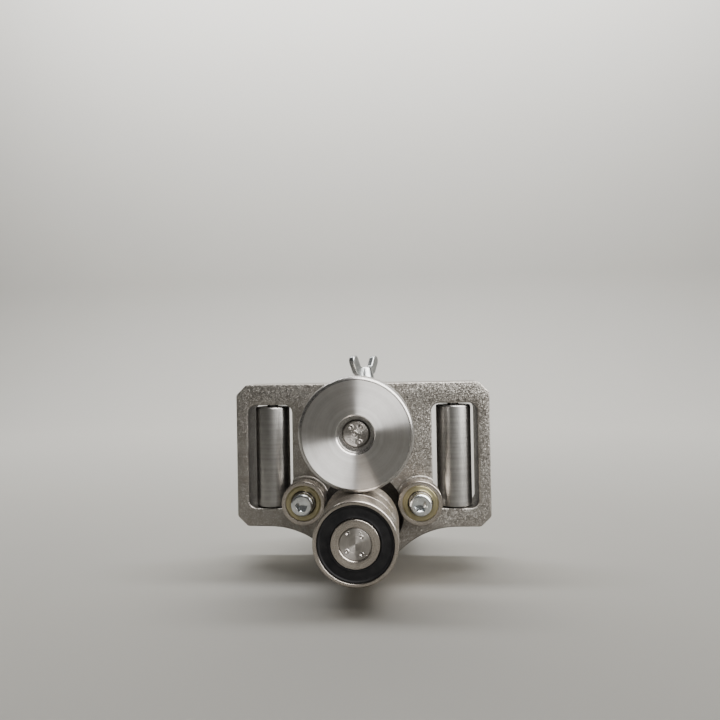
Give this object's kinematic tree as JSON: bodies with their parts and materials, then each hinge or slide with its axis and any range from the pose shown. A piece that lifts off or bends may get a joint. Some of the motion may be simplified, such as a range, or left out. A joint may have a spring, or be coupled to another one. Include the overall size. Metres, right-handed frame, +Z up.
{
  "type": "roller honing guide",
  "caption": "Cast plate with a turned wheel nipped against a stacked-bearing roller, guide bearings, window rollers and a wing nut lift.",
  "frame": {"origin": "middle of the bounding box in X and Y, at the foot of the rear housing; Y = 0 is also the front face of the cast plate", "axes": "+Z up along the window rollers, roller axes along Y, -Y towards the user, X along the plate"},
  "size_m": [0.113, 0.0856, 0.0934],
  "materials": {
    "cast_plate": "blasted sand casting, warm grey",
    "cast_housing": "cast, machined where it meets the plate",
    "black_steel": "black oxide",
    "turned_steel": "bright face-turned, round tool marks",
    "ground_steel": "ground, dark",
    "plain_steel": "plain turned or milled",
    "bronze": "sintered bronze",
    "bearing_steel": "ground bearing steel",
    "cage_steel": "pressed cage and polished balls",
    "seal_rubber": "satin black moulded seal",
    "brass_shield": "yellow passivated pressed shield",
    "zinc_plate": "bright zinc plating",
    "spring_steel": "hard-drawn spring wire"
  },
  "bodies": {
    "frame": {"frame_plate": "cast_plate", "rear_housing": "cast_housing", "lower_left_housing_screw": "black_steel", "lower_right_housing_screw": "black_steel", "upper_left_housing_screw": "black_steel", "upper_right_housing_screw": "black_steel", "left_roller_pin": "plain_steel", "right_roller_pin": "plain_steel", "lower_shaft": "plain_steel", "lower_shaft_spacer": "plain_steel", "front_roller_bearing_inner_ring": "bearing_steel", "middle_roller_bearing_inner_ring": "bearing_steel", "rear_roller_bearing_inner_ring": "bearing_steel", "left_guide_bearing_inner_ring": "bearing_steel", "right_guide_bearing_inner_ring": "bearing_steel", "left_guide_screw": "zinc_plate", "right_guide_screw": "zinc_plate", "left_guide_spacer": "plain_steel", "right_guide_spacer": "plain_steel", "nut_washer": "zinc_plate", "left_spring": "spring_steel", "right_spring": "spring_steel"},
    "left_roller": {"left_window_roller": "ground_steel", "left_upper_bush": "bronze", "left_lower_bush": "bronze"},
    "right_roller": {"right_window_roller": "ground_steel", "right_upper_bush": "bronze", "right_lower_bush": "bronze"},
    "lower_roller": {"front_roller_bearing_outer_ring": "bearing_steel", "front_roller_bearing_ball_cage": "cage_steel", "front_roller_bearing_front_seal": "seal_rubber", "front_roller_bearing_rear_seal": "seal_rubber", "middle_roller_bearing_outer_ring": "bearing_steel", "middle_roller_bearing_ball_cage": "cage_steel", "middle_roller_bearing_front_seal": "seal_rubber", "middle_roller_bearing_rear_seal": "seal_rubber", "rear_roller_bearing_outer_ring": "bearing_steel", "rear_roller_bearing_ball_cage": "cage_steel", "rear_roller_bearing_front_seal": "seal_rubber", "rear_roller_bearing_rear_seal": "seal_rubber"},
    "left_guide": {"left_guide_bearing_outer_ring": "bearing_steel", "left_guide_bearing_ball_cage": "cage_steel", "left_guide_bearing_front_shield": "brass_shield", "left_guide_bearing_rear_shield": "brass_shield"},
    "right_guide": {"right_guide_bearing_outer_ring": "bearing_steel", "right_guide_bearing_ball_cage": "cage_steel", "right_guide_bearing_front_shield": "brass_shield", "right_guide_bearing_rear_shield": "brass_shield"},
    "slide": {"slide_block": "plain_steel", "lift_stud": "zinc_plate", "front_block_bearing_outer_ring": "bearing_steel", "front_block_bearing_ball_cage": "cage_steel", "rear_block_bearing_outer_ring": "bearing_steel", "rear_block_bearing_ball_cage": "cage_steel"},
    "wheel": {"wheel": "turned_steel", "wheel_shaft": "plain_steel", "retaining_ring": "black_steel", "front_block_bearing_inner_ring": "bearing_steel", "rear_block_bearing_inner_ring": "bearing_steel"},
    "wing_nut": {"wing_nut": "zinc_plate"}
  },
  "joints": [
    {"name": "left_roller_spin", "type": "hinge", "parent": "frame", "child": "left_roller", "pos_m": [-0.04115, 0.0064, 0], "axis": [0, 0, 1], "continuous": true},
    {"name": "right_roller_spin", "type": "hinge", "parent": "frame", "child": "right_roller", "pos_m": [0.04115, 0.0064, 0], "axis": [0, 0, 1], "continuous": true},
    {"name": "lower_roller_spin", "type": "hinge", "parent": "frame", "child": "lower_roller", "pos_m": [0, 0, 0.0229], "axis": [0, 1, 0], "continuous": true},
    {"name": "left_guide_spin", "type": "hinge", "parent": "frame", "child": "left_guide", "pos_m": [-0.0253, 0, 0.0289], "axis": [0, 1, 0], "continuous": true},
    {"name": "right_guide_spin", "type": "hinge", "parent": "frame", "child": "right_guide", "pos_m": [0.0253, 0, 0.0289], "axis": [0, 1, 0], "continuous": true},
    {"name": "wheel_lift", "type": "slide", "parent": "frame", "child": "slide", "axis": [0, 0, 1], "range_m": [0, 0.004], "deforming": ["left_spring", "right_spring"]},
    {"name": "wheel_spin", "type": "hinge", "parent": "slide", "child": "wheel", "pos_m": [0, 0, 0.0617], "axis": [0, 1, 0], "continuous": true},
    {"name": "wing_nut_turn", "type": "hinge", "parent": "frame", "child": "wing_nut", "pos_m": [0, 0.0282, 0], "axis": [0, 0, 1], "range_deg": [0, 1800]}
  ],
  "couplings": [
    {"joint": "wing_nut_turn", "follows": "wheel_lift", "rad_per_m": 7854}
  ]
}
